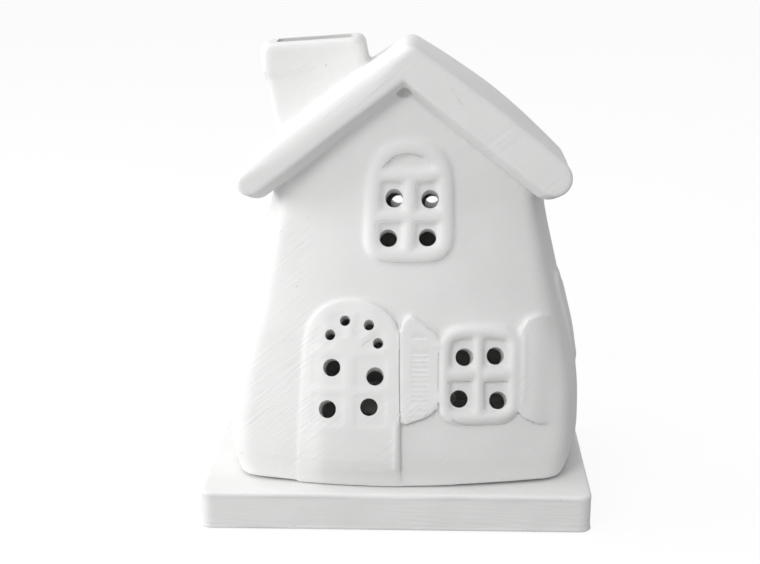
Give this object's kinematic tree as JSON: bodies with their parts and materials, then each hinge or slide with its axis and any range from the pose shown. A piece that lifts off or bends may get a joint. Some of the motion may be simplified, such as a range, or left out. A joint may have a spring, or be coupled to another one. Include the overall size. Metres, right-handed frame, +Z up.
{
  "type": "tealight house lantern",
  "caption": "White bisque ceramic house lantern with a gable roof, open chimney and drilled windows that lifts off a square base plate holding a tealight in a cup.",
  "frame": {"origin": "middle of the base plate's underside, where the part rests", "axes": "+Z up, -Y towards the viewer (the wall with the door), +X to the viewer's right"},
  "size_m": [0.1216, 0.1, 0.1473],
  "materials": {
    "bisque": "unglazed, sanded matt",
    "cup": "pressed sheet, satin",
    "wax": "smooth wax",
    "sustainer": "tinned sheet",
    "wick": "waxed cotton"
  },
  "bodies": {
    "base": {"base_plate": "bisque"},
    "house": {"house_shell": "bisque"},
    "tealight": {"tealight_cup": "cup", "tealight_wax": "wax", "wick_sustainer": "sustainer", "tealight_wick": "wick"}
  },
  "joints": [
    {"name": "house_lift", "type": "slide", "parent": "base", "child": "house", "axis": [0, 0, 1], "range_m": [0, 0.08]},
    {"name": "tealight_lift", "type": "slide", "parent": "base", "child": "tealight", "axis": [0, 0, 1], "range_m": [0, 0.02]}
  ]
}
